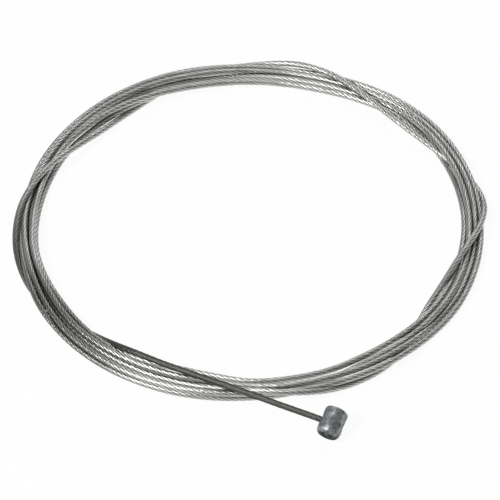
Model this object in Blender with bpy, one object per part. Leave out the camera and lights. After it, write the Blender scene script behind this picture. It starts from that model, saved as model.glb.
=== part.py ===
# Bicycle brake inner cable: one stranded steel cable with a cast zinc barrel nipple on its end.
# The cable lies as a loose round coil. Its nipple end passes over the coil from the inner side
# to the outer side and sticks out in front, down to the nipple, which rests on its lower rim.
import math

import bmesh
import bpy
from mathutils import Matrix, Vector

# Cable
CABLE_DIAMETER = 0.0016
CLEARANCE = 0.0003
MERGE_DISTANCE = CABLE_DIAMETER / 1000
SHARP_EDGE = math.radians(35)

# Coil, as the outer shape of its turns
COIL_RADIUS = 0.0577
TURNS_ABREAST = 5
TURNS_HIGH = 2
LOBE_REACH = math.radians(60)
LOBE_STEP = math.radians(30)
COIL_STEPS = 72

# Barrel nipple
BARREL_DIAMETER = 0.0060
BARREL_LENGTH = 0.0070
BARREL_DRAFT = 0.00006
RIM_ROUNDING = 0.0006
RIM_STEPS = 5
DISH_RADIUS = 0.0017
DISH_DEPTH = 0.0003
DISH_SLOPE = 0.0003
BUTTON_RADIUS = 0.0006
BUTTON_DEPTH = 0.0001
BARREL_STEPS = 48

# Mouth in the nipple's side, where the cable goes in, and the dimple opposite, over its cast end
MOUTH_DEPTH = 0.0010
MOUTH_FLARE = 0.00025
DIMPLE_RADIUS = 0.0010
DIMPLE_DEPTH = 0.0004
CUTTER_STEPS = 24

# How the nipple lies, from the coil's centre: the cable's heading into it, and its near end's tip
BARREL_X = 0.0199
BARREL_Y = -0.0710
CABLE_HEADING = math.radians(-24)
BARREL_TIP = math.radians(20)

# Route of the free end from the nipple over the coil, from the coil's centre on the ground
FREE_ROUTE = (
    (0.0135, -0.06815, 0.0040),
    (0.0072, -0.06535, 0.0042),
    (0.0000, -0.06195, 0.00435),
    (-0.0076, -0.0584, 0.0044),
    (-0.0150, -0.0550, 0.0044),
    (-0.0225, -0.0514, 0.0044),
    (-0.0290, -0.0479, 0.0044),
)
ROUTE_SPACING = 2.5 * CABLE_DIAMETER
ROUTE_FINENESS = 24

CABLE_RADIUS = CABLE_DIAMETER / 2
BARREL_RADIUS = BARREL_DIAMETER / 2
BARREL_HALF = BARREL_LENGTH / 2


def clear_scene():
    for item in list(bpy.data.objects):
        bpy.data.objects.remove(item)


def metal(name, colour, roughness):
    made = bpy.data.materials.new(name)
    made.use_nodes = True
    surface = made.node_tree.nodes["Principled BSDF"]
    surface.inputs["Base Color"].default_value = (*colour, 1)
    surface.inputs["Metallic"].default_value = 1
    surface.inputs["Roughness"].default_value = roughness
    return made


def add_object(name, data, material=None):
    made = bpy.data.objects.new(name, data)
    bpy.context.scene.collection.objects.link(made)
    if material:
        data.materials.append(material)
    return made


def arc(centre, radius, start, end, steps):
    """Points of an arc about centre, from angle start to angle end."""
    angles = [start + (end - start) * step / steps for step in range(steps + 1)]
    return [(centre[0] + radius * math.cos(a), centre[1] + radius * math.sin(a)) for a in angles]


def turned(name, outline, closed, steps):
    """A body turned about Z from (radius, height) points, which either close or end on the axis."""
    body = bmesh.new()
    points = [body.verts.new((radius, 0, height)) for radius, height in outline]
    ends = points[1:] + points[:1] if closed else points[1:]
    edges = [body.edges.new(pair) for pair in zip(points, ends)]
    bmesh.ops.spin(
        body, geom=points + edges, axis=(0, 0, 1), cent=(0, 0, 0), angle=math.tau, steps=steps
    )
    bmesh.ops.remove_doubles(body, verts=body.verts, dist=MERGE_DISTANCE)
    bmesh.ops.recalc_face_normals(body, faces=body.faces)
    mesh = bpy.data.meshes.new(name)
    body.to_mesh(mesh)
    body.free()
    mesh.shade_smooth()
    mesh.set_sharp_from_angle(angle=SHARP_EDGE)
    return mesh


# Coil


def lobe(column, row, start, end):
    """The outer arc of the turn that lies in this column and row of the coil's section."""
    centre = (
        COIL_RADIUS + (column - (TURNS_ABREAST - 1) / 2) * CABLE_DIAMETER,
        CABLE_RADIUS + row * CABLE_DIAMETER,
    )
    steps = max(2, round(abs(end - start) / LOBE_STEP))
    return arc(centre, CABLE_RADIUS, start, end, steps)


def coil_outline():
    """Round the coil's section: a flat underside, and a lobe for each turn that shows."""
    left, top, right = math.pi, math.pi / 2, 0
    down = math.pi * 3 / 2
    last, upper = TURNS_ABREAST - 1, TURNS_HIGH - 1
    points = lobe(0, 0, down, left - LOBE_REACH)
    for row in range(1, upper):
        points += lobe(0, row, left + LOBE_REACH, left - LOBE_REACH)
    points += lobe(0, upper, left + LOBE_REACH, top - LOBE_REACH)
    for column in range(1, last):
        points += lobe(column, upper, top + LOBE_REACH, top - LOBE_REACH)
    points += lobe(last, upper, top + LOBE_REACH, right - LOBE_REACH)
    for row in range(upper - 1, 0, -1):
        points += lobe(last, row, right + LOBE_REACH, right - LOBE_REACH)
    points += lobe(last, 0, right + LOBE_REACH, down - math.tau)
    return points


def make_coil(steel):
    return add_object("coil", turned("coil", coil_outline(), True, COIL_STEPS), steel)


# Barrel nipple


def barrel_end_outline():
    """From the middle of an end face out to the side: button, dish, flat land and rounded rim."""
    side = BARREL_RADIUS - BARREL_DRAFT
    floor = BARREL_HALF - DISH_DEPTH
    button = BARREL_HALF - BUTTON_DEPTH
    outline = [
        (0, button),
        (BUTTON_RADIUS, button),
        (BUTTON_RADIUS + DISH_SLOPE, floor),
        (DISH_RADIUS - DISH_SLOPE, floor),
        (DISH_RADIUS, BARREL_HALF),
    ]
    rim = (side - RIM_ROUNDING, BARREL_HALF - RIM_ROUNDING)
    return outline + arc(rim, RIM_ROUNDING, math.pi / 2, 0, RIM_STEPS)


def barrel_height():
    """The height of the nipple's middle when its lower rim rests on the ground."""
    along = (BARREL_HALF - RIM_ROUNDING) * math.sin(BARREL_TIP)
    across = (BARREL_RADIUS - BARREL_DRAFT - RIM_ROUNDING) * math.cos(BARREL_TIP)
    return along + across + RIM_ROUNDING


def cut(body, name, outline, turn, place):
    """Cuts a turned shape out of the nipple's side, its axis along the cable."""
    cutter = add_object(name, turned(name, outline, False, CUTTER_STEPS))
    cutter.parent = body
    cutter.matrix_local = place @ turn
    cutter.hide_render = True
    cutter.display_type = "WIRE"
    modifier = body.modifiers.new(name, "BOOLEAN")
    modifier.operation = "DIFFERENCE"
    modifier.solver = "EXACT"
    modifier.object = cutter


def make_barrel(zinc):
    end = barrel_end_outline()
    outline = end + [(BARREL_RADIUS, 0)] + [(radius, -height) for radius, height in reversed(end)]
    barrel = add_object("barrel_end", turned("barrel_end", outline, False, BARREL_STEPS), zinc)
    lie = Matrix.Rotation(CABLE_HEADING, 4, "Z") @ Matrix.Rotation(
        BARREL_TIP - math.pi / 2, 4, "X"
    )
    barrel.matrix_world = Matrix.Translation((BARREL_X, BARREL_Y, barrel_height())) @ lie

    bore = CABLE_RADIUS + CLEARANCE
    past = BARREL_RADIUS + MOUTH_DEPTH
    mouth = [
        (0, BARREL_RADIUS - MOUTH_DEPTH),
        (bore, BARREL_RADIUS - MOUTH_DEPTH),
        (bore, BARREL_RADIUS - MOUTH_FLARE),
        (bore + MOUTH_FLARE + MOUTH_DEPTH, past),
        (0, past),
    ]
    towards_cable = Matrix.Rotation(-math.pi / 2, 4, "Y")
    cut(barrel, "mouth_cutter", mouth, towards_cable, Matrix.Identity(4))
    dimple = [
        (0, BARREL_RADIUS - DIMPLE_DEPTH),
        (2 * DIMPLE_RADIUS, BARREL_RADIUS + DIMPLE_DEPTH),
        (0, BARREL_RADIUS + DIMPLE_DEPTH),
    ]
    away_from_cable = Matrix.Rotation(math.pi / 2, 4, "Y")
    cut(barrel, "dimple_cutter", dimple, away_from_cable, Matrix.Identity(4))
    return barrel


# Free end


def smooth_through(points, fineness):
    """A smooth curve through the points, as fineness points for each stretch between two."""
    ahead = points[0] * 2 - points[1]
    behind = points[-1] * 2 - points[-2]
    hold = [ahead, *points, behind]
    curve = []
    for a, b, c, d in zip(hold, hold[1:], hold[2:], hold[3:]):
        for step in range(fineness):
            t = step / fineness
            curve.append(
                b
                + (c - a) * (t / 2)
                + (a * 2 - b * 5 + c * 4 - d) * (t * t / 2)
                + (b * 3 - a - c * 3 + d) * (t * t * t / 2)
            )
    return curve + [points[-1]]


def evenly_spaced(curve, spacing):
    """Points at about this spacing along a finely drawn curve, with both its ends."""
    reach = [0.0]
    for start, end in zip(curve, curve[1:]):
        reach.append(reach[-1] + (end - start).length)
    count = round(reach[-1] / spacing)
    points = []
    place = 0
    for step in range(count + 1):
        wanted = reach[-1] * step / count
        while place < len(curve) - 2 and reach[place + 1] < wanted:
            place += 1
        share = (wanted - reach[place]) / (reach[place + 1] - reach[place])
        points.append(curve[place].lerp(curve[place + 1], share))
    return points


def make_free_end(barrel, steel):
    """The cable from inside the nipple's mouth to where it lies on the coil."""
    inside = barrel.matrix_world @ Vector((-(BARREL_RADIUS - MOUTH_DEPTH + CLEARANCE), 0, 0))
    route = [inside] + [Vector(point) for point in FREE_ROUTE]
    points = evenly_spaced(smooth_through(route, ROUTE_FINENESS), ROUTE_SPACING)
    line = bpy.data.curves.new("free_end", "CURVE")
    line.dimensions = "3D"
    line.bevel_depth = CABLE_RADIUS
    line.bevel_resolution = 2
    line.use_fill_caps = True
    spline = line.splines.new("POLY")
    spline.points.add(len(points) - 1)
    for place, point in zip(spline.points, points):
        place.co = (*point, 1)
    return add_object("free_end", line, steel)


def stand_on_base(bodies, pieces):
    """Puts the middle of the base of the box round the bodies at the world's origin."""
    corners = [body.matrix_world @ vertex.co for body in bodies for vertex in body.data.vertices]
    low = Vector(min(corner[axis] for corner in corners) for axis in range(3))
    high = Vector(max(corner[axis] for corner in corners) for axis in range(3))
    base = add_object("cable_base", None)
    for piece in pieces:
        piece.parent = base
    base.location = (-(low.x + high.x) / 2, -(low.y + high.y) / 2, -low.z)


def build():
    clear_scene()
    steel = metal("stranded_steel", (0.50, 0.50, 0.48), 0.35)
    zinc = metal("cast_zinc", (0.40, 0.43, 0.44), 0.45)
    coil = make_coil(steel)
    barrel = make_barrel(zinc)
    free_end = make_free_end(barrel, steel)
    stand_on_base([coil, barrel], [coil, barrel, free_end])


build()
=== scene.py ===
import math

import bpy
import numpy as np
from mathutils import Matrix, Vector, noise


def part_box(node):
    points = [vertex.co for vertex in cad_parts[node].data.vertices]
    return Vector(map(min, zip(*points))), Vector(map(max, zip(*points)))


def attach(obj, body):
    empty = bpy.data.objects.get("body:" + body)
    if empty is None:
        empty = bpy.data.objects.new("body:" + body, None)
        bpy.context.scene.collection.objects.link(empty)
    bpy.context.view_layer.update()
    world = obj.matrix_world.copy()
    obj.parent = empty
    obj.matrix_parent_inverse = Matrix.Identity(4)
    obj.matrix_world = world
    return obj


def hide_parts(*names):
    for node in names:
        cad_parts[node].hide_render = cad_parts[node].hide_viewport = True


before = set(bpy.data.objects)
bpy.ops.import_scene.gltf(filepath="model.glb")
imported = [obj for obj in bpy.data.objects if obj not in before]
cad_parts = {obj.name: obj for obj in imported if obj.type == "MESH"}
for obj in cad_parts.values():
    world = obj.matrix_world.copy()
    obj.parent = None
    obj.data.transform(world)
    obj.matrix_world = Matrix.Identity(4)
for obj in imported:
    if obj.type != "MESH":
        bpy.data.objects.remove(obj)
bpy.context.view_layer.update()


# Camera
# A long lens, well back and above the front of the coil, as the photograph was taken. The lens
# comes from the photograph's scale at the ground in the middle of the picture.
coil_low, coil_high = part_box("coil")
coil_centre = Vector(((coil_low.x + coil_high.x) / 2, (coil_low.y + coil_high.y) / 2, 0))
CAMERA_DISTANCE = 0.9
CAMERA_ELEVATION = math.radians(45.5)
PICTURE_PIXELS = 500
PIXELS_PER_METRE = 3880
AIM_FROM_COIL = Vector((-0.00016, -0.00797, 0))

camera_data = bpy.data.cameras.new("camera")
camera_data.lens = (
    PIXELS_PER_METRE * CAMERA_DISTANCE * camera_data.sensor_width / PICTURE_PIXELS
)
camera = bpy.data.objects.new("camera", camera_data)
bpy.context.scene.collection.objects.link(camera)
camera_back = Vector((0, -math.cos(CAMERA_ELEVATION), math.sin(CAMERA_ELEVATION)))
camera.location = coil_centre + AIM_FROM_COIL + camera_back * CAMERA_DISTANCE
camera.rotation_euler = (-camera_back).to_track_quat("-Z", "Y").to_euler()
bpy.context.scene.camera = camera


# Route of the cable
# One 2.0 m length. From the nipple it crosses over the coil to its inner side. Its first turn is
# wound over and under the others, which lie side by side, and its cut end is tucked under them.
# The free stretch is in metres. A turn's stations are in mm, and in degrees from +X about the coil.
MM = 0.001
CABLE_DIAMETER = 0.0016
CABLE_LENGTH = 2.0
FREE_ROUTE = (
    (0.0135, -0.06815, 0.0040),
    (0.0072, -0.06535, 0.0042),
    (0.0000, -0.06195, 0.00435),
    (-0.0076, -0.0584, 0.0044),
    (-0.0150, -0.0550, 0.0044),
    (-0.0225, -0.0514, 0.0044),
    (-0.0290, -0.0479, 0.0044),
)

# A turn's place is the radius at which the camera sees it, had it lain on SEEN_LEVEL, so that a
# turn that is pressed up or down keeps its place in the picture. First come the stations of the
# wound turn, as angle, seen radius and height.
SEEN_LEVEL = 1.6
WOUND_TURN = (
    (-121.5, 53.75, 4.4), (-124, 53.9, 3.8), (-127, 54.4, 2.8), (-131, 55.0, 1.6),
    (-137, 56.2, 0.8), (-145, 58.0, 0.8), (-152, 59.8, 0.8), (-158, 60.7, 0.8),
    (-165, 61.1, 0.8), (-175, 60.9, 1.5), (-180, 60.45, 2.3), (-185, 59.9, 2.8),
    (-190, 59.0, 3.0), (-195, 58.0, 3.4), (-200, 56.8, 3.6), (-205, 55.5, 3.4),
    (-210, 54.3, 3.0), (-215, 53.4, 2.4), (-220, 52.8, 1.8), (-225, 52.7, 1.4),
    (-230, 52.9, 1.0), (-235, 53.4, 0.8), (-240, 54.4, 0.8), (-246, 56.1, 0.8),
    (-252, 57.8, 0.8), (-258, 59.1, 0.8), (-264, 59.9, 0.8), (-269, 60.5, 0.8),
    (-273, 61.2, 0.8), (-277, 62.0, 1.2), (-280, 62.3, 1.8), (-283, 62.4, 2.4),
    (-286, 62.0, 2.8), (-289, 61.5, 3.0), (-292, 60.9, 3.2), (-296, 59.6, 3.3),
    (-299, 58.6, 3.3), (-303, 57.4, 3.3), (-307, 56.3, 3.2), (-310, 55.6, 3.0),
    (-315, 54.9, 2.8), (-320, 54.7, 2.5), (-325, 55.0, 2.3), (-330, 55.8, 2.1),
    (-334, 56.6, 1.8), (-338, 57.9, 1.4), (-342, 59.3, 0.8), (-345, 60.3, 0.8),
    (-348, 61.0, 0.8), (-352, 61.4, 1.0), (-355, 61.2, 1.8), (-358, 60.6, 2.3),
    (-360, 59.9, 2.5), (-363, 58.8, 2.7), (-366, 57.7, 3.1), (-370, 56.1, 3.3),
    (-373, 55.1, 3.2), (-376, 54.3, 3.0), (-380, 53.7, 2.4), (-385, 53.4, 1.6),
    (-390, 53.5, 1.0), (-394, 53.9, 0.8), (-398, 54.8, 0.8), (-403, 56.4, 0.8),
    (-408, 58.2, 0.8), (-413, 59.9, 0.8), (-417, 60.8, 0.8), (-421, 61.2, 0.8),
    (-425, 61.5, 0.8), (-430, 61.4, 1.4), (-434, 60.9, 2.4), (-438, 60.1, 3.2),
)

# The lying turns, in the cable's order: the seen radii from -90 degrees on, every 10 degrees,
# and the heights from which each turn settles.
LYING_START, LYING_STEP = -90, 10
LYING_TURNS = (
    (
        (57.9, 58.2, 58.4, 58.5, 58.4, 58.2, 57.9, 57.3, 57.0, 57.0, 57.3, 57.9),
        (58.6, 58.7, 58.2, 57.4, 56.6, 56.2, 56.0, 55.9, 56.1, 56.9, 57.9, 58.3),
        (57.8, 57.3, 56.9, 56.6, 56.6, 56.7, 56.7, 56.5, 56.6, 56.6, 58.2, 59.9),
        ((-90, 2.7), (-100, 1.6), (-115, 0.9), (-125, 1.0), (-137, 1.3), (-150, 1.3),
         (-165, 0.9), (-235, 0.8), (-241, 2.0), (-253, 2.0), (-262, 1.4), (-315, 1.8),
         (-325, 2.4), (-335, 3.2), (-343, 2.6), (-352, 1.2), (-380, 1.2), (-395, 2.2),
         (-407, 2.6), (-416, 0.9), (-425, 0.8)),
    ),
    (
        (60.6, 61.4, 61.9, 62.0, 61.9, 61.5, 60.9, 59.9, 59.5, 59.4, 59.1, 59.5),
        (59.9, 60.2, 60.6, 60.8, 60.8, 60.3, 59.8, 59.6, 60.0, 60.7, 61.2, 61.2),
        (60.8, 60.2, 59.8, 59.6, 59.7, 59.9, 60.2, 60.1, 59.8, 59.7, 59.5, 59.3),
        ((-90, 0.8), (-135, 0.8), (-145, 1.8), (-165, 1.8), (-175, 0.8), (-245, 0.8),
         (-256, 2.0), (-272, 1.8), (-282, 0.8), (-335, 0.8), (-342, 1.8), (-348, 1.8),
         (-355, 0.8), (-402, 0.8), (-412, 2.2), (-422, 2.4), (-450, 2.4)),
    ),
    (
        (59.2, 59.8, 60.2, 60.3, 60.1, 59.8, 59.1, 58.4, 58.2, 58.5, 58.4, 58.6),
        (58.9, 59.0, 59.1, 59.0, 58.7, 58.4, 58.2, 58.1, 58.3, 58.8, 59.6, 59.8),
        (59.4, 58.9, 58.5, 58.1, 58.2, 58.4, 58.5, 58.2, 57.8, 57.6, 57.3, 57.3),
        ((-90, 2.2), (-100, 2.4), (-150, 2.4), (-170, 2.2), (-185, 2.2), (-200, 2.4),
         (-229, 2.3), (-238, 3.0), (-256, 3.4), (-265, 3.0), (-275, 1.8), (-330, 1.2),
         (-337, 2.2), (-345, 2.4), (-355, 0.9), (-395, 0.9), (-405, 2.2), (-435, 2.2)),
    ),
    (
        (56.8, 56.4, 56.3, 56.6, 56.9, 56.9, 56.5, 56.4, 56.5, 56.2, 56.3, 56.7),
        (57.1, 56.7, 56.2, 55.3, 54.4, 54.0, 53.9, 53.9, 54.1, 55.0, 56.0, 56.7),
        (56.3, 55.9, 55.6, 55.4, 55.1, 55.2, 55.2, 54.9, 54.6, 54.6, 55.2, 55.2),
        ((-90, 1.6), (-110, 2.6), (-128, 3.2), (-145, 3.2), (-160, 2.6), (-190, 2.2),
         (-205, 1.8), (-215, 2.2), (-226, 3.2), (-238, 3.2), (-262, 2.8), (-280, 2.2),
         (-300, 2.0), (-320, 0.9), (-385, 0.8), (-393, 1.8), (-402, 2.2), (-412, 0.9),
         (-440, 0.8)),
    ),
    (
        (55.4, 54.2, 54.0, 55.4, 56.1, 55.8, 55.6, 55.8, 56.0, 55.6, 55.2, 55.1),
        (55.3, 54.9, 54.9, 54.9, 54.8, 54.6),
        (),
        ((-90, 0.8), (-119, 0.8), (-127, 1.6), (-140, 2.0), (-150, 0.8), (-218, 0.8),
         (-228, 2.1), (-236, 2.1), (-250, 1.8)),
    ),
)

# Between the stations a turn is worked out at this step, in degrees, and its seen radii are eased
WINDING_STEP = 1.5
STEPS_PER_TURN = round(360 / WINDING_STEP)
STATION_EASING = 6

# How the turns settle: how many rounds, the share of each push that they give way by, how much the
# lift is eased and kept in each round and eased at the end, and the steps that the free end holds
SETTLE_ROUNDS = 500
PUSH_SHARE = 0.7
ROUND_EASING, LIFT_KEPT = 3, 0.998
LAST_EASING = 4
HELD_STEPS = 4


def winding_through(stations):
    """Seen radius and height at equal steps of angle, smoothly through the stations."""
    along = -np.array(stations)[:, 0]
    steps = np.arange(along[0], along[-1], WINDING_STEP)
    held = np.clip(np.searchsorted(along, steps, side="right") - 1, 0, len(along) - 2)
    gap = np.diff(along)
    share = (steps - along[held]) / gap[held]
    columns = []
    for level in (1, 2):
        value = np.array(stations)[:, level]
        slope = np.diff(value) / gap
        lean = np.empty_like(value)
        lean[0], lean[-1] = slope[0], slope[-1]
        lean[1:-1] = (gap[1:] * slope[:-1] + gap[:-1] * slope[1:]) / (gap[1:] + gap[:-1])
        columns.append(
            value[held] * (1 + 2 * share) * (1 - share) ** 2
            + gap[held] * lean[held] * share * (1 - share) ** 2
            + value[held + 1] * share**2 * (3 - 2 * share)
            + gap[held] * lean[held + 1] * share**2 * (share - 1)
        )
    return columns


def eased(values, rounds):
    """The same row of values with its bends eased, more with each round."""
    values = values.copy()
    for _ in range(rounds):
        values[1:-1] += (values[:-2] + values[2:] - 2 * values[1:-1]) / 4
    return values


def settled(seen, first_height, angles):
    """Radius and height once turns that meet have pressed each other apart along the camera's
    line of sight, with none below the table. The lift is eased as they do, so no turn has a kink."""
    lean = -np.sin(angles) / math.tan(CAMERA_ELEVATION)
    slant = np.sqrt(1 + lean**2)
    diameter = CABLE_DIAMETER / MM
    hold = np.clip(np.arange(len(seen)) / HELD_STEPS, 0, 1)
    lift = np.zeros(len(seen))
    for settle_round in range(SETTLE_ROUNDS):
        height = first_height + lift
        radius = seen + lean * (height - SEEN_LEVEL)
        push = np.zeros(len(seen))
        for later in range(STEPS_PER_TURN, len(seen), STEPS_PER_TURN):
            outward = radius[later:] - radius[:-later]
            upward = height[later:] - height[:-later]
            in_sight = (outward * lean[:-later] + upward) / slant[:-later]
            beside = outward**2 + upward**2 - in_sight**2
            needed = np.sqrt(np.maximum(diameter**2 - beside, 0))
            press = np.maximum(needed - np.abs(in_sight), 0) / (2 * slant[:-later])
            press = np.where(in_sight >= 0, press, -press)
            push[:-later] -= press
            push[later:] += press
        lift = np.maximum(lift + PUSH_SHARE * push, diameter / 2 - first_height) * hold
        if settle_round < SETTLE_ROUNDS - 1:
            lift = eased(lift, ROUND_EASING) * LIFT_KEPT
    height = first_height + eased(lift, LAST_EASING)
    return seen + lean * (height - SEEN_LEVEL), height


stations = list(WOUND_TURN)
for turn, (*radii_rows, heights) in enumerate(LYING_TURNS, start=1):
    radii = [radius for row in radii_rows for radius in row]
    height_places = [-angle for angle, height in heights]
    for step, radius in enumerate(radii):
        place = step * LYING_STEP - LYING_START
        height = np.interp(place, height_places, [height for angle, height in heights])
        stations.append((-place - 360 * turn, radius, height))
seen_radii, first_heights = winding_through(stations)
angles = np.radians(WOUND_TURN[0][0] - WINDING_STEP * np.arange(len(seen_radii)))
coil_radii, coil_heights = settled(eased(seen_radii, STATION_EASING), first_heights, angles)
coil_points = [
    coil_centre + Vector((radius * math.cos(angle), radius * math.sin(angle), height)) * MM
    for radius, height, angle in zip(coil_radii, coil_heights, angles)
]

# The cable starts just outside the floor of the nipple's mouth
barrel_low, barrel_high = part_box("barrel_end")
barrel_middle = (barrel_low + barrel_high) / 2
CABLE_HEADING = math.radians(-24)
MOUTH_FLOOR = 0.0020
OFF_MOUTH_FLOOR = CABLE_DIAMETER / 10
towards_nipple = Vector((math.cos(CABLE_HEADING), math.sin(CABLE_HEADING), 0))
cable_start = barrel_middle - towards_nipple * (MOUTH_FLOOR + OFF_MOUTH_FLOOR)
free_points = [coil_centre + Vector(point) for point in FREE_ROUTE]

# The coil's first points are passed over, so that the free end runs smoothly on to the rest
COIL_POINTS_PASSED = 3
ROUTE_FINENESS = 2


def smooth_through(points, fineness):
    """A smooth curve through the points, with so many steps between two of them."""
    hold = [points[0] * 2 - points[1], *points, points[-1] * 2 - points[-2]]
    curve = []
    for a, b, c, d in zip(hold, hold[1:], hold[2:], hold[3:]):
        for step in range(fineness):
            t = step / fineness
            curve.append(
                b
                + (c - a) * (t / 2)
                + (a * 2 - b * 5 + c * 4 - d) * (t * t / 2)
                + (b * 3 - a - c * 3 + d) * (t * t * t / 2)
            )
    return curve + [points[-1]]


route = smooth_through(
    [cable_start, *free_points, *coil_points[COIL_POINTS_PASSED:]], ROUTE_FINENESS
)
reach = 0
cable_path = [route[0]]
for start, end in zip(route, route[1:]):
    reach += (end - start).length
    if reach > CABLE_LENGTH:
        break
    cable_path.append(end)


# Cable
# One strand of seven drawn steel wires: a core wire and six laid round it, with one turn in
# 10 mm. Only the six outer wires show, so they are drawn and the core isn't. One end is cast into
# the nipple, and the cut end is bare.
OUTER_WIRES = 6
LAY_LENGTH = 0.0104
STEP_ALONG = 0.00085
POINTS_PER_WIRE = 6

# The grooves between wires are drawn at this share of their real depth, and kept sharp below this
# share of their height
GROOVE_SHARE = 0.26
SHARP_GROOVE = 0.1

# Scuffs from drawing and laying are about 0.1 mm long, which is too fine to show, so they are
# drawn as 0.8 mm long
SCUFF_LENGTH, SCUFF_DEPTH = 0.0008, 0.00015

PATCH_LENGTH = 0.012
HEATED_LENGTH, HEATED_FADE = 0.096, 0.030
# The outer turns at the front left are drawn darker, within this reach of this place
DARK_AREA_FROM_COIL = (-0.105, -0.075, 0)
DARK_AREA_REACH, DARK_AREA_FADE = 0.070, 0.012
WORN_STEEL, CLEAN_STEEL = "#b2b2af", "#e2e2df"
HEATED_STEEL, DARKER_STEEL = "#545450", "#8e8e8a"
# Painted shade: where two turns touch or lie by the table, and down in the grooves between wires
TURN_SHADE, GROOVE_SHADE = "#454541", "#666662"
HEATED_ROUGHNESS, STEEL_ROUGHNESS = 0.45, 0.38

# Painted shade between turns, and by the table, goes from full to none over these shares of open
# space about a place, and painted shade in a groove over these shares of its height
TURN_SHADE_OPEN = (0.2, 0.65)
GROOVE_SHADE_HEIGHT = (0.1, 0.7)
OPEN_SAMPLES = 8

# The sockets of a Mix node that mixes colours
COLOUR_A, COLOUR_B, MIXED = 6, 7, 2


def linear(colour):
    """An sRGB hex colour as linear red, green, blue and alpha."""
    parts = [int(colour[place : place + 2], 16) / 255 for place in (1, 3, 5)]
    return [
        part / 12.92 if part <= 0.04045 else ((part + 0.055) / 1.055) ** 2.4 for part in parts
    ] + [1]


def add_node(tree, kind, inputs=(), **settings):
    """Adds a node, sets its properties, and sets or links its inputs, given as name: value."""
    node = tree.nodes.new(kind)
    for name, value in settings.items():
        setattr(node, name, value)
    for name, value in dict(inputs).items():
        if isinstance(value, bpy.types.NodeSocket):
            tree.links.new(value, node.inputs[name])
        else:
            node.inputs[name].default_value = value
    return node


def drawn_steel():
    """Bright drawn carbon-steel wire, lightly oiled: a neutral grey metal that glints in short
    dashes where a wire turns to the light, broken up by fine scuffs. Painted shade darkens it down
    between the wires and where turns touch. The outer turns at the front left are drawn darker.
    The first 10 cm by the casting are darkened and dulled by its heat."""
    material = bpy.data.materials.new("drawn_steel_wire")
    material.use_nodes = True
    tree = material.node_tree
    surface = tree.nodes["Principled BSDF"]
    groove = add_node(tree, "ShaderNodeAttribute", attribute_name="groove").outputs["Fac"]
    along = add_node(tree, "ShaderNodeAttribute", attribute_name="along").outputs["Fac"]
    wire = add_node(tree, "ShaderNodeAttribute", attribute_name="wire").outputs["Fac"]
    place = add_node(tree, "ShaderNodeTexCoord").outputs["Object"]

    # Each wire has its own patches, about a centimetre long, that are cleaner or more worn
    patch_place = add_node(tree, "ShaderNodeCombineXYZ", {"X": along, "Y": wire}).outputs[0]
    patch = add_node(
        tree,
        "ShaderNodeTexNoise",
        {"Vector": patch_place, "Scale": 1 / PATCH_LENGTH, "Detail": 2},
        noise_dimensions="2D",
    ).outputs["Fac"]
    colour = add_node(
        tree,
        "ShaderNodeMix",
        {"Factor": patch, COLOUR_A: linear(WORN_STEEL), COLOUR_B: linear(CLEAN_STEEL)},
        data_type="RGBA",
    ).outputs[MIXED]

    # The casting's heat, a darker area on the outer turns at the front left, and painted shade where
    # two turns touch or lie by the table, and down in the grooves
    past_heat = add_node(
        tree,
        "ShaderNodeMapRange",
        {"Value": along, "From Min": HEATED_LENGTH, "From Max": HEATED_LENGTH + HEATED_FADE},
        interpolation_type="SMOOTHSTEP",
    ).outputs["Result"]
    # A darker area on the outer turns at the front left
    dark_area_distance = add_node(
        tree,
        "ShaderNodeVectorMath",
        {0: place, 1: coil_centre + Vector(DARK_AREA_FROM_COIL)},
        operation="DISTANCE",
    ).outputs["Value"]
    off_dark_area = add_node(
        tree,
        "ShaderNodeMapRange",
        {
            "Value": dark_area_distance,
            "From Min": DARK_AREA_REACH,
            "From Max": DARK_AREA_REACH + DARK_AREA_FADE,
        },
        interpolation_type="SMOOTHSTEP",
    ).outputs["Result"]
    # Painted shade, darker where other turns or the table close in round a place
    open_share = add_node(
        tree, "ShaderNodeAmbientOcclusion", {"Distance": CABLE_DIAMETER}, samples=OPEN_SAMPLES
    ).outputs["AO"]
    clear_of_turns = add_node(
        tree,
        "ShaderNodeMapRange",
        {"Value": open_share, "From Min": TURN_SHADE_OPEN[0], "From Max": TURN_SHADE_OPEN[1]},
    ).outputs["Result"]
    # Painted shade down in the grooves between wires
    out_of_groove = add_node(
        tree,
        "ShaderNodeMapRange",
        {"Value": groove, "From Min": GROOVE_SHADE_HEIGHT[0], "From Max": GROOVE_SHADE_HEIGHT[1]},
    ).outputs["Result"]
    for unmarked_share, stain_or_shade in (
        (past_heat, HEATED_STEEL),
        (off_dark_area, DARKER_STEEL),
        (clear_of_turns, TURN_SHADE),
        (out_of_groove, GROOVE_SHADE),
    ):
        colour = add_node(
            tree,
            "ShaderNodeMix",
            {"Factor": unmarked_share, COLOUR_A: linear(stain_or_shade), COLOUR_B: colour},
            data_type="RGBA",
        ).outputs[MIXED]

    roughness = add_node(
        tree,
        "ShaderNodeMapRange",
        {"Value": past_heat, "To Min": HEATED_ROUGHNESS, "To Max": STEEL_ROUGHNESS},
    ).outputs["Result"]
    scuffs = add_node(
        tree, "ShaderNodeTexNoise", {"Vector": place, "Scale": 1 / SCUFF_LENGTH, "Detail": 3}
    ).outputs["Fac"]
    skin = add_node(
        tree, "ShaderNodeBump", {"Height": scuffs, "Strength": 1.0, "Distance": SCUFF_DEPTH}
    ).outputs["Normal"]
    tree.links.new(colour, surface.inputs["Base Color"])
    tree.links.new(roughness, surface.inputs["Roughness"])
    tree.links.new(skin, surface.inputs["Normal"])
    surface.inputs["Metallic"].default_value = 1
    return material


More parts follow.
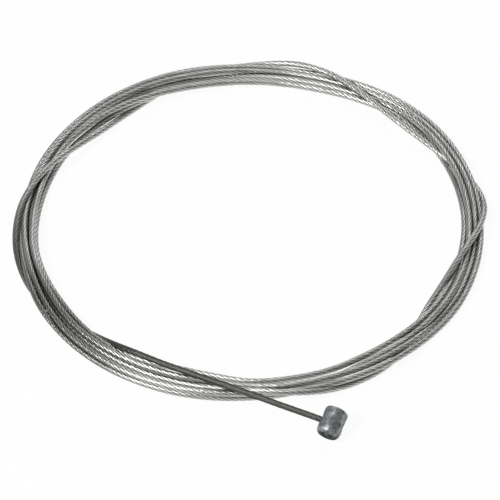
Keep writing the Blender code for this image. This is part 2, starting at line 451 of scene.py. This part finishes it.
def strand_tree(steel):
    """Lays the outer wires round a line of points, as one surface that turns along it."""
    tree = bpy.data.node_groups.new("stranded_cable", "GeometryNodeTree")
    tree.interface.new_socket(name="Line", in_out="INPUT", socket_type="NodeSocketGeometry")
    for name, kind in (
        ("Cable diameter", "NodeSocketFloat"),
        ("Outer wires", "NodeSocketInt"),
        ("Points per wire", "NodeSocketInt"),
        ("Groove share", "NodeSocketFloat"),
        ("Lay length", "NodeSocketFloat"),
        ("Step along", "NodeSocketFloat"),
    ):
        tree.interface.new_socket(name=name, in_out="INPUT", socket_type=kind)
    tree.interface.new_socket(name="Cable", in_out="OUTPUT", socket_type="NodeSocketGeometry")
    given = add_node(tree, "NodeGroupInput").outputs

    # Each row names a value and the sum that gives it, from a given size, a number or a value
    # above it. In the section, each outer wire is an arc that meets its neighbours in a groove.
    values = {
        "diameter": given["Cable diameter"],
        "wires": given["Outer wires"],
        "points": given["Points per wire"],
        "groove share": given["Groove share"],
        "lay length": given["Lay length"],
        "index": add_node(tree, "GeometryNodeInputIndex").outputs[0],
        "along": add_node(tree, "GeometryNodeSplineParameter").outputs["Length"],
    }
    for name, operation, *terms in (
        ("radius", "DIVIDE", "diameter", 2.0),
        ("half pitch", "DIVIDE", math.pi, "wires"),
        ("wire share", "SINE", "half pitch"),
        ("share and core", "ADD", "wire share", 1.0),
        ("circle radius", "DIVIDE", "radius", "share and core"),
        ("wire radius", "MULTIPLY", "circle radius", "wire share"),
        ("points round", "MULTIPLY", "wires", "points"),
        ("point on wire", "MODULO", "index", "points"),
        ("across wire", "DIVIDE", "point on wire", "points"),
        ("across pitch", "MULTIPLY_ADD", "across wire", 2.0, -1.0),
        ("off crest", "MULTIPLY", "across pitch", "half pitch"),
        ("crest sine", "SINE", "off crest"),
        ("crest cosine", "COSINE", "off crest"),
        ("sideways", "MULTIPLY", "circle radius", "crest sine"),
        ("wire radius squared", "POWER", "wire radius", 2.0),
        ("sideways squared", "POWER", "sideways", 2.0),
        ("rise squared", "SUBTRACT", "wire radius squared", "sideways squared"),
        ("rise squared or none", "MAXIMUM", "rise squared", 0.0),
        ("rise", "SQRT", "rise squared or none"),
        ("round wires", "MULTIPLY_ADD", "circle radius", "crest cosine", "rise"),
        ("real sink", "SUBTRACT", "radius", "round wires"),
        ("drawn sink", "MULTIPLY", "real sink", "groove share"),
        ("outline", "SUBTRACT", "radius", "drawn sink"),
        ("pitch cosine", "COSINE", "half pitch"),
        ("groove floor", "MULTIPLY", "circle radius", "pitch cosine"),
        ("over floor", "SUBTRACT", "round wires", "groove floor"),
        ("crest over floor", "SUBTRACT", "radius", "groove floor"),
        ("groove", "DIVIDE", "over floor", "crest over floor"),
        ("wires passed", "DIVIDE", "index", "points"),
        ("wire", "FLOOR", "wires passed"),
        ("lays along", "DIVIDE", "along", "lay length"),
        ("turned", "MULTIPLY", "lays along", math.tau),
    ):
        inputs = {place: values.get(term, term) for place, term in enumerate(terms)}
        values[name] = add_node(tree, "ShaderNodeMath", inputs, operation=operation).outputs[0]

    section = add_node(
        tree,
        "GeometryNodeCurvePrimitiveCircle",
        {"Resolution": values["points round"], "Radius": 1.0},
    ).outputs["Curve"]
    way = add_node(tree, "GeometryNodeInputPosition").outputs[0]
    shaped = add_node(
        tree, "ShaderNodeVectorMath", {0: way, "Scale": values["outline"]}, operation="SCALE"
    ).outputs[0]
    section = add_node(
        tree, "GeometryNodeSetPosition", {"Geometry": section, "Position": shaped}
    ).outputs[0]
    for name in ("groove", "wire"):
        section = add_node(
            tree,
            "GeometryNodeStoreNamedAttribute",
            {"Geometry": section, "Name": name, "Value": values[name]},
        ).outputs[0]

    # The line, turned about itself once in each lay length
    line = add_node(tree, "GeometryNodeMeshToCurve", {"Mesh": given["Line"]}).outputs[0]
    line = add_node(
        tree,
        "GeometryNodeResampleCurve",
        {"Curve": line, "Length": given["Step along"]},
        mode="LENGTH",
    ).outputs[0]
    line = add_node(tree, "GeometryNodeSetCurveNormal", {"Curve": line}, mode="Z_UP").outputs[0]
    line = add_node(
        tree, "GeometryNodeSetCurveTilt", {"Curve": line, "Tilt": values["turned"]}
    ).outputs[0]
    line = add_node(
        tree,
        "GeometryNodeStoreNamedAttribute",
        {"Geometry": line, "Name": "along", "Value": values["along"]},
    ).outputs[0]

    # The section swept along the line, smooth but for the bottoms of its grooves
    cable = add_node(
        tree,
        "GeometryNodeCurveToMesh",
        {"Curve": line, "Profile Curve": section, "Fill Caps": True},
    ).outputs[0]
    cable = add_node(tree, "GeometryNodeSetShadeSmooth", {"Geometry": cable}).outputs[0]
    kept_groove = add_node(tree, "GeometryNodeInputNamedAttribute", {"Name": "groove"}).outputs[0]
    in_groove = add_node(
        tree, "FunctionNodeCompare", {0: kept_groove, 1: SHARP_GROOVE}, operation="LESS_THAN"
    ).outputs[0]
    cable = add_node(
        tree,
        "GeometryNodeSetShadeSmooth",
        {"Geometry": cable, "Selection": in_groove, "Shade Smooth": False},
        domain="EDGE",
    ).outputs[0]
    cable = add_node(tree, "GeometryNodeRealizeInstances", {"Geometry": cable}).outputs[0]
    cable = add_node(
        tree, "GeometryNodeSetMaterial", {"Geometry": cable, "Material": steel}
    ).outputs[0]
    add_node(tree, "NodeGroupOutput", {"Cable": cable})
    return tree


def made_by(tree, mesh, name, sizes):
    """The plain mesh object that a node tree makes of a mesh, with its inputs set by name."""
    source = bpy.data.objects.new(name, mesh)
    bpy.context.scene.collection.objects.link(source)
    modifier = source.modifiers.new(name, "NODES")
    modifier.node_group = tree
    for socket in tree.interface.items_tree:
        if socket.name in sizes:
            modifier[socket.identifier] = sizes[socket.name]
    evaluated = source.evaluated_get(bpy.context.evaluated_depsgraph_get())
    result = bpy.data.meshes.new_from_object(evaluated)
    source.modifiers.remove(modifier)
    source.data = result
    return source


cable_line = bpy.data.meshes.new("cable_line")
cable_line.from_pydata(
    cable_path, [(place, place + 1) for place in range(len(cable_path) - 1)], []
)
cable = made_by(
    strand_tree(drawn_steel()),
    cable_line,
    "inner_cable",
    {
        "Cable diameter": CABLE_DIAMETER,
        "Outer wires": OUTER_WIRES,
        "Points per wire": POINTS_PER_WIRE,
        "Groove share": GROOVE_SHARE,
        "Lay length": LAY_LENGTH,
        "Step along": STEP_ALONG,
    },
)
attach(cable, "root")
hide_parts("coil", "free_end")


# Barrel nipple
# A small zinc-alloy casting, poured round the splayed end of the cable in a two-part mould. Its
# waist is a little hollow, its rims are round, the near one more, and each end has a shallow dish
# round a button. The cable's mouth is in one side, with a dimple opposite. Its sizes are in mm.
BARREL_HALF = 3.5
BARREL_TIP = math.radians(20)
BARREL_STEPS = 72
END_MIDDLE = (
    (0.0, 3.40), (0.5, 3.40), (0.65, 3.35), (0.8, 3.20), (0.95, 3.12), (1.3, 3.12), (1.45, 3.2),
    (1.6, 3.4), (1.75, 3.48),
)
NEAR_CREST, NEAR_RIM = (3.0, 1.8), 0.85
FAR_CREST, FAR_RIM = (2.95, 2.75), 0.65
RIM_STEPS = 12
SIDE_STEPS = 26
WAIST_DEPTH = 0.1
MOUTH_RADIUS, MOUTH_FLARE = 0.95, 0.45
DIMPLE_RADIUS, DIMPLE_DEPTH = 1.0, 0.4
LUMP_LENGTH, LUMP_HEIGHT = 1.5, 0.06
GRAIN_LENGTH, GRAIN_HEIGHT = 0.45, 0.03

# Blotches of oxide are about a millimetre long. The casting's pits are finer than 0.1 mm, which is
# too fine to show, so they are drawn as 0.3 mm across.
BLOTCHES_PER_MM, BLOTCH_CONTRAST = 1.1, (0.3, 0.7)
PITS_PER_MM, PIT_STRENGTH, PIT_DEPTH = 3.5, 0.5, 0.05
DULL_ZINC, CLEAN_ZINC, ZINC_SHADE = "#686c6e", "#bcc0c1", "#222425"
DULL_ROUGHNESS, CLEAN_ROUGHNESS = 0.58, 0.48
# Painted shade where the table and the cable lie within this reach, in mm, fading over these shares
# of open space
ZINC_SHADE_REACH = 8
ZINC_SHADE_OPEN = (0.5, 1.0)


def cast_zinc():
    """Die-cast zinc alloy, gone dull: a bluish grey metal, blotchy and softly pitted, with a
    soft bright glint on its roundest places, and painted shade low down on it, where the table and
    the cable close in."""
    material = bpy.data.materials.new("die_cast_zinc")
    material.use_nodes = True
    tree = material.node_tree
    surface = tree.nodes["Principled BSDF"]
    place = add_node(tree, "ShaderNodeTexCoord").outputs["Object"]
    blotch = add_node(
        tree, "ShaderNodeTexNoise", {"Vector": place, "Scale": BLOTCHES_PER_MM / MM, "Detail": 4}
    ).outputs["Fac"]
    blotch = add_node(
        tree,
        "ShaderNodeMapRange",
        {"Value": blotch, "From Min": BLOTCH_CONTRAST[0], "From Max": BLOTCH_CONTRAST[1]},
    ).outputs["Result"]
    colour = add_node(
        tree,
        "ShaderNodeMix",
        {"Factor": blotch, COLOUR_A: linear(DULL_ZINC), COLOUR_B: linear(CLEAN_ZINC)},
        data_type="RGBA",
    ).outputs[MIXED]
    # Painted shade, darkest low down where the table and the cable close in
    open_share = add_node(
        tree,
        "ShaderNodeAmbientOcclusion",
        {"Distance": ZINC_SHADE_REACH * MM},
        samples=OPEN_SAMPLES,
    ).outputs["AO"]
    clear_of_shade = add_node(
        tree,
        "ShaderNodeMapRange",
        {"Value": open_share, "From Min": ZINC_SHADE_OPEN[0], "From Max": ZINC_SHADE_OPEN[1]},
    ).outputs["Result"]
    colour = add_node(
        tree,
        "ShaderNodeMix",
        {"Factor": clear_of_shade, COLOUR_A: linear(ZINC_SHADE), COLOUR_B: colour},
        data_type="RGBA",
    ).outputs[MIXED]
    roughness = add_node(
        tree,
        "ShaderNodeMapRange",
        {"Value": blotch, "To Min": DULL_ROUGHNESS, "To Max": CLEAN_ROUGHNESS},
    ).outputs["Result"]
    pits = add_node(
        tree, "ShaderNodeTexNoise", {"Vector": place, "Scale": PITS_PER_MM / MM, "Detail": 2}
    ).outputs["Fac"]
    skin = add_node(
        tree,
        "ShaderNodeBump",
        {"Height": pits, "Strength": PIT_STRENGTH, "Distance": PIT_DEPTH * MM},
    ).outputs["Normal"]
    tree.links.new(colour, surface.inputs["Base Color"])
    tree.links.new(roughness, surface.inputs["Roughness"])
    tree.links.new(skin, surface.inputs["Normal"])
    surface.inputs["Metallic"].default_value = 1
    return material


def barrel_end_profile(crest, rim):
    """From the middle of an end out to the crest of its rim, as radius and height."""
    turns = [math.pi / 2 * (1 - step / RIM_STEPS) for step in range(RIM_STEPS + 1)]
    crest_radius, crest_height = crest
    return list(END_MIDDLE) + [
        (
            crest_radius - rim + rim * math.cos(turn),
            crest_height + (BARREL_HALF - crest_height) * math.sin(turn),
        )
        for turn in turns
    ]


# The profile from the near end's middle to the far end's, with the hollow waist between
near_end = [(radius, -height) for radius, height in barrel_end_profile(NEAR_CREST, NEAR_RIM)]
far_end = barrel_end_profile(FAR_CREST, FAR_RIM)
side = []
for step in range(1, SIDE_STEPS):
    share = step / SIDE_STEPS
    radius = near_end[-1][0] + (far_end[-1][0] - near_end[-1][0]) * share
    height = near_end[-1][1] + (far_end[-1][1] - near_end[-1][1]) * share
    side.append((radius - WAIST_DEPTH * math.sin(math.pi * share) ** 2, height))
near_middle, *rings, far_middle = near_end + side + far_end[::-1]

# The profile turned about the barrel's axis
points = []
for radius, height in rings:
    for step in range(BARREL_STEPS):
        turn = math.tau * step / BARREL_STEPS
        points.append(Vector((radius * math.cos(turn), radius * math.sin(turn), height)))
last_ring = (len(rings) - 1) * BARREL_STEPS
faces = []
for first in range(0, last_ring, BARREL_STEPS):
    for step in range(BARREL_STEPS):
        here, there = first + step, first + (step + 1) % BARREL_STEPS
        faces.append((here, there, there + BARREL_STEPS, here + BARREL_STEPS))
near_pole, far_pole = len(points), len(points) + 1
points += [Vector((0, 0, near_middle[1])), Vector((0, 0, far_middle[1]))]
for step in range(BARREL_STEPS):
    ahead = (step + 1) % BARREL_STEPS
    faces.append((ahead, step, near_pole))
    faces.append((last_ring + step, last_ring + ahead, far_pole))
barrel_mesh = bpy.data.meshes.new("barrel_nipple")
barrel_mesh.from_pydata(points, [], faces)

# The casting's lumps and grain, and then the mouth and the dimple pressed into its sides
for vertex in barrel_mesh.vertices:
    lump = noise.noise(vertex.co / LUMP_LENGTH) * LUMP_HEIGHT
    grain = noise.noise(vertex.co / GRAIN_LENGTH) * GRAIN_HEIGHT
    points[vertex.index] = vertex.co + vertex.normal * (lump + grain)
for vertex, point in zip(barrel_mesh.vertices, points):
    off_axis = math.hypot(point.y, point.z)
    if point.x < 0:
        pressed = np.clip((MOUTH_RADIUS + MOUTH_FLARE - off_axis) / MOUTH_FLARE, 0, 1)
        point.x += (-MOUTH_FLOOR / MM - point.x) * pressed**2 * (3 - 2 * pressed)
    else:
        point.x -= DIMPLE_DEPTH * max(0, 1 - off_axis / DIMPLE_RADIUS)
    vertex.co = point * MM
lie = Matrix.Rotation(CABLE_HEADING, 4, "Z") @ Matrix.Rotation(BARREL_TIP - math.pi / 2, 4, "X")
barrel_mesh.transform(Matrix.Translation(barrel_middle) @ lie)
barrel_mesh.shade_smooth()
barrel_mesh.materials.append(cast_zinc())
barrel = bpy.data.objects.new("barrel_nipple", barrel_mesh)
bpy.context.scene.collection.objects.link(barrel)
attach(barrel, "root")
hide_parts("barrel_end")


# Floor and light
# A plain white table and soft studio light: a key lamp from the front left, a broad panel behind,
# and an even pale surround.
FLOOR_SIZE = 3.0
TABLE_WHITE = "#fafafa"
SURROUND_COLOUR, SURROUND_STRENGTH = "#f2f4f5", 0.25

# The share of plain white that the camera sees of the table. The rest is its lit surface, with the
# object's shadow.
TABLE_GLOW = 0.94


def matt_white_table():
    """Smooth white card: no gloss, only the object's soft shadow. Camera, glossy and transmission
    rays see it near white, but it throws no more light on the object than a lit card does."""
    material = bpy.data.materials.new("matt_white_table")
    material.use_nodes = True
    tree = material.node_tree
    tree.nodes.remove(tree.nodes["Principled BSDF"])
    ray = add_node(tree, "ShaderNodeLightPath").outputs
    seen = ray["Is Camera Ray"]
    for kind in ("Is Glossy Ray", "Is Transmission Ray"):
        seen = add_node(
            tree, "ShaderNodeMath", {0: seen, 1: ray[kind]}, operation="MAXIMUM"
        ).outputs[0]
    glow = add_node(
        tree, "ShaderNodeMath", {0: seen, 1: TABLE_GLOW}, operation="MULTIPLY"
    ).outputs[0]
    lit = add_node(tree, "ShaderNodeBsdfDiffuse", {"Color": linear(TABLE_WHITE)}).outputs[0]
    white = add_node(tree, "ShaderNodeEmission", {"Strength": 1.0}).outputs[0]
    card = add_node(tree, "ShaderNodeMixShader", {0: glow, 1: lit, 2: white}).outputs[0]
    tree.links.new(card, tree.nodes["Material Output"].inputs["Surface"])
    return material


floor_mesh = bpy.data.meshes.new("floor")
half = FLOOR_SIZE / 2
floor_mesh.from_pydata(
    [(-half, -half, 0), (half, -half, 0), (half, half, 0), (-half, half, 0)], [], [(0, 1, 2, 3)]
)
floor = bpy.data.objects.new("floor", floor_mesh)
bpy.context.scene.collection.objects.link(floor)
floor_mesh.materials.append(matt_white_table())


def add_lamp(name, way, distance, width, depth, power):
    """A soft rectangular lamp in this direction from the coil, aimed at its centre."""
    data = bpy.data.lights.new(name, "AREA")
    data.shape = "RECTANGLE"
    data.size, data.size_y = width, depth
    data.energy = power
    lamp = bpy.data.objects.new(name, data)
    bpy.context.scene.collection.objects.link(lamp)
    direction = Vector(way).normalized()
    lamp.location = coil_centre + direction * distance
    lamp.rotation_euler = (-direction).to_track_quat("-Z", "Y").to_euler()


add_lamp("key_lamp", (-0.54, -0.45, 0.71), distance=1.0, width=0.22, depth=0.22, power=7.6)
add_lamp("back_panel", (0.1, 0.75, 0.66), distance=1.2, width=0.9, depth=0.5, power=3.4)

world = bpy.data.worlds.new("pale_surround")
bpy.context.scene.world = world
world.use_nodes = True
background = world.node_tree.nodes["Background"].inputs
background["Color"].default_value = linear(SURROUND_COLOUR)
background["Strength"].default_value = SURROUND_STRENGTH
bpy.context.scene.view_settings.view_transform = "Standard"
